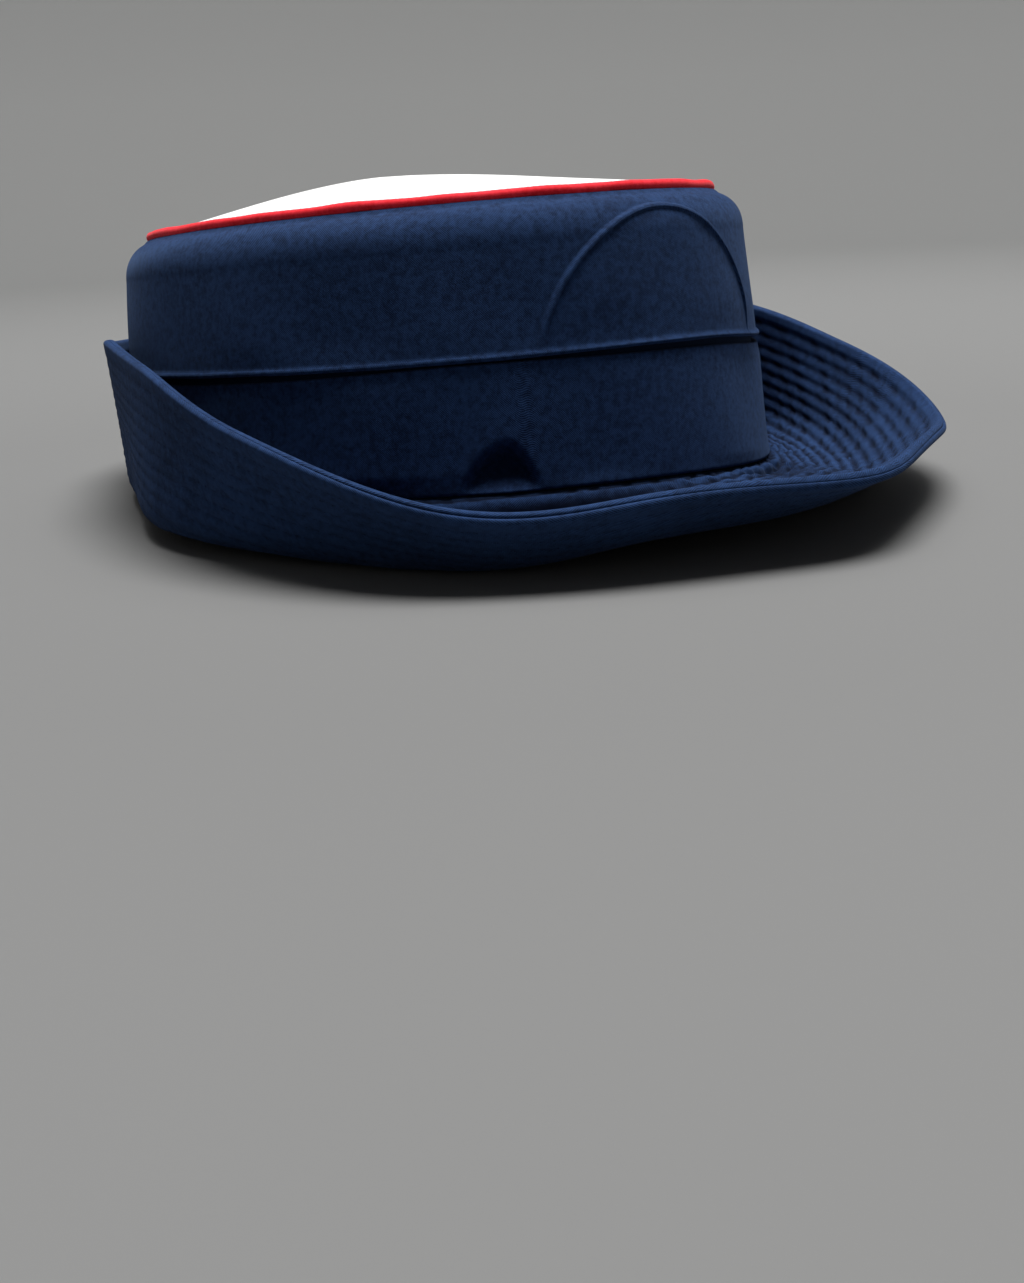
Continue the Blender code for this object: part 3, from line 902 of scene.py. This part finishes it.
def add_panel(material, thread):
    """Arched panel: arches that shrink to the middle of its foot, with a rolled rim and a stitched groove.

    The outline is (spread * cos t, foot + (height - foot) * sin t ^ fullness), and the relief a function of
    the distance in from it.
    """
    sweep = np.linspace(0, np.pi, PANEL_COLUMNS)
    inward = [np.linspace(1, 0.8, 60, endpoint=False), np.linspace(0.8, 0.15, 18, endpoint=False)]
    inward = np.concatenate([*inward, np.geomspace(0.15, 0.003, 12)])[:, None]
    foot = SEAM_FOOT + SEAM_FOLD
    spread = np.arcsin(PANEL_WIDTH / 2 / HALF_WIDTH)
    place = inward * spread * np.cos(sweep)
    up = foot + inward * (PANEL_HEIGHT - foot) * np.sin(sweep) ** PANEL_FULLNESS
    depth = (1 - inward) * PANEL_WIDTH / 2
    proud = panel_relief(depth, up - foot)
    lean = np.arctan(-(side_out(up + LEAN_STEP) - side_out(up - LEAN_STEP)) / (2 * LEAN_STEP))

    def layer(height):
        out = side_out(up) + side_swell(place, up)
        return crown_point(place, out + height * np.cos(lean), up + height * np.sin(lean))

    over, under = layer(proud), layer(PANEL_SEAT)
    rows, columns = place.shape
    points = np.concatenate([under[::-1], over]).reshape(-1, 3)
    index = np.arange(2 * rows * columns).reshape(2 * rows, columns)
    loop = np.vstack([index, index[:1]])
    faces = np.stack([loop[:-1, :-1], loop[1:, :-1], loop[1:, 1:], loop[:-1, 1:]], axis=-1).reshape(-1, 4)
    ends = [index[::-1, 0], index[:, -1]]
    flat = np.stack([place * HALF_LENGTH, up], axis=-1)
    flat = np.concatenate([flat[::-1], flat]).reshape(-1, 2)
    weave = np.concatenate([flat[faces].reshape(-1, 2), *(flat[end] for end in ends)])
    piece = add_piece("front_panel_cloth", points, [*faces, *ends], material, weave, crease=PANEL_CREASE)
    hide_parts("front_panel")
    row = int(np.argmin(np.abs(depth[:, 0] - PANEL_GROOVE)))
    normal = np.cross(np.gradient(over, axis=1), np.gradient(over, axis=0))
    normal *= np.sign((normal[row, columns // 2] * [0, -1, 0]).sum())
    runs = [(over[row], unit(normal[row]))]
    add_stitches("panel_stitches", runs, PANEL_STITCH, thread)


def panel_relief(depth, above):
    """Height of the panel over the wall by distance in from its rim and above its foot.

    The rim rises gently to a ridge, drops quickly into the stitched groove and comes slowly out of it as a
    low puff. All of it fades towards the foot.
    """
    ridge = PANEL_RIDGE * smooth_step(depth / RIDGE_REACH)
    drop = PANEL_DROP * smooth_step((depth - PANEL_GROOVE + DROP_REACH) / DROP_REACH)
    puff = PANEL_PUFF * smooth_step((depth - PANEL_GROOVE) / PUFF_REACH)
    fade = PANEL_LEAST + (1 - PANEL_LEAST) * smooth_step(above / FADE_REACH)
    return GAP / 2 + PANEL_THICKNESS * fade * (ridge - drop + puff)


def add_top(material):
    """White top: ovals that shrink to a summit set back from the middle, gathered a little along the piping.

    The height is lip + rise * (1 - share^roundness), and share runs from 1 at the piping to 0 at the summit.
    """
    place = crown_places()
    edge = np.linspace(1, TOP_EDGE, TOP_EDGE_RINGS, endpoint=False)
    share = np.concatenate([edge, np.linspace(TOP_EDGE, 0, TOP_INNER_RINGS, endpoint=False)])[:, None]
    rim = around(place, -TOP_INSET, 0)[:, :2]
    spread = share[..., None] * rim + (1 - share[..., None]) * np.array([0, TOP_SET_BACK])
    height = LIP_HEIGHT + GAP + TOP_RISE * (1 - share**TOP_ROUNDNESS) + np.zeros(CROWN_PLACES)
    near = smooth_step((share - TOP_EDGE) / TOP_EDGE_SPAN)
    gathers = TOP_GATHER * near * soft_noise(41, (55, 71, 90, 104), place)
    slack = TOP_SLACK * smooth_step((1 - share) / 0.2) * share
    slack = slack * soft_noise(42, (2, 3, 5, 7), place, share, 0.8)
    tuck = TOP_TUCK * np.clip((share - TUCK_START) / TUCK_SPAN, 0, 1) ** 2
    over = np.concatenate([spread, (height + TOP_WALL + gathers + slack - tuck)[..., None]], axis=-1)
    under = np.concatenate([spread, height[..., None]], axis=-1)[TOP_UNDER_RINGS]
    top, bottom = over[-1].mean(axis=0), under[-1].mean(axis=0)
    rings = np.concatenate([under[::-1], over])
    points = np.concatenate([rings.reshape(-1, 3), [bottom, top]])
    quads = ring_faces(len(rings), CROWN_PLACES, closed_section=False)
    first = np.arange(CROWN_PLACES)
    last = first + (len(rings) - 1) * CROWN_PLACES
    bottom_fan = np.stack([np.roll(first, -1), first, np.full(CROWN_PLACES, len(points) - 2)], axis=-1)
    top_fan = np.stack([last, np.roll(last, -1), np.full(CROWN_PLACES, len(points) - 1)], axis=-1)
    weave = np.concatenate([points[part].reshape(-1, 3)[:, :2] for part in (quads, bottom_fan, top_fan)])
    piece = add_piece("white_top", points, [*quads, *bottom_fan, *top_fan], material, weave)
    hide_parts("crown_top")


# Studio


def add_studio():
    """Pale round studio: a floor that sweeps up into a wall all round, its profile turned about the hat."""
    turn = np.linspace(0, np.pi / 2, 24)
    profile = np.concatenate([
        [[0.3, 0], [0.9, 0]],
        np.stack([FLOOR_RADIUS + SWEEP_RADIUS * np.sin(turn), SWEEP_RADIUS * (1 - np.cos(turn))], axis=-1),
        [[FLOOR_RADIUS + SWEEP_RADIUS, STUDIO_HEIGHT]],
    ])
    spin = places(STUDIO_SIDES)
    points = np.stack([
        profile[:, :1] * np.cos(spin),
        profile[:, :1] * np.sin(spin),
        np.repeat(profile[:, 1:], STUDIO_SIDES, axis=1) - FLOOR_GAP,
    ], axis=-1)
    faces = ring_faces(len(profile), STUDIO_SIDES, closed_section=False).tolist()
    faces.append(list(range(STUDIO_SIDES))[::-1])
    mesh = bpy.data.meshes.new("studio_floor")
    mesh.from_pydata(points.reshape(-1, 3).tolist(), [], faces)
    mesh.flip_normals()
    mesh.shade_smooth()
    mesh.materials.append(floor_material())
    add_object("studio_floor", mesh)


def facing(place, target, roll=0.0):
    """Axes, as columns, of a light or camera: -Z goes from its place to a target, and it rolls about that."""
    back = unit(np.array(place, float) - np.array(target, float))
    right = unit(np.cross([0, 0, 1], back)) if abs(back[2]) < 0.999 else np.array([1.0, 0, 0])
    up = np.cross(back, right)
    turned = [right * np.cos(roll) + up * np.sin(roll), up * np.cos(roll) - right * np.sin(roll), back]
    return np.stack(turned, axis=1)


def stand(thing, axes, place):
    matrix = np.eye(4)
    matrix[:3, :3] = axes
    matrix[:3, 3] = place
    thing.matrix_world = Matrix(matrix.tolist())


def add_light(name, place, target, size, power):
    light = bpy.data.lights.new(name, "AREA")
    light.shape = "DISK"
    light.size = size
    light.energy = power
    stand(add_object(name, light), facing(place, target), place)


def add_lights():
    add_light("overhead_softbox", place=(0.12, 0.0, 1.4), target=(0, 0, 0), size=0.9, power=30)
    add_light("ceiling_panel", place=(1.0, 1.0, 3.2), target=(1.0, 1.0, 0), size=4.0, power=70)
    world = bpy.data.worlds.new("studio")
    world.use_nodes = True
    world.node_tree.nodes["Background"].inputs["Color"].default_value = AMBIENT_COLOUR
    world.node_tree.nodes["Background"].inputs["Strength"].default_value = AMBIENT_STRENGTH
    bpy.context.scene.world = world


def add_camera():
    camera = bpy.data.cameras.new("camera")
    camera.lens = CAMERA_LENS
    camera.sensor_width = CAMERA_SENSOR
    camera.clip_start = 0.01
    view = add_object("camera", camera)
    stand(view, AXES @ facing(CAMERA_PLACE, CAMERA_AIM, CAMERA_ROLL), in_world(np.array(CAMERA_PLACE)))
    bpy.context.scene.camera = view


def dress():
    twill = {"pitch": 0.55 * MM, "slant": 1.0, "rib": 0.7, "sheen_tint": (0.35, 0.55, 1.0)}
    # Where shade is painted, the tone falls by up to 0.7 on the crown's cloth and 0.9 on the quilted brim.
    navy = cloth_material(
        "navy twill", dark=(0.0035, 0.0100, 0.034), light=(0.018, 0.045, 0.125),
        sheen=0.12, painted_shade=0.70, **twill,
    )
    quilted = cloth_material(
        "quilted navy twill", dark=(0.0016, 0.0050, 0.018), light=(0.0215, 0.0540, 0.151),
        sheen=0.05, mottling=0.8, painted_shade=0.90, **twill,
    )
    red = cloth_material(
        "red piping cover", dark=(0.80, 0.008, 0.016), light=(1.0, 0.035, 0.060), pitch=0.4 * MM, slant=1.0,
        rib=0.6, sheen=0.3, sheen_tint=(1.0, 0.3, 0.3), roughness=0.7,
    )
    white = cloth_material(
        "white cotton", dark=(0.68, 0.68, 0.67), light=(0.80, 0.80, 0.79), pitch=0.45 * MM, slant=0.0,
        rib=0.2, sheen=0.1, sheen_tint=(1, 1, 1),
    )
    thread = thread_material("navy thread", (0.005, 0.013, 0.042))
    add_crown_side(navy)
    add_crown_band(navy)
    add_welt(navy)
    add_panel(navy, thread)
    add_piping(red)
    add_top(white)
    add_brim(quilted, thread)


dress()
add_studio()
add_lights()
add_camera()
bpy.context.scene.view_settings.view_transform = "Standard"
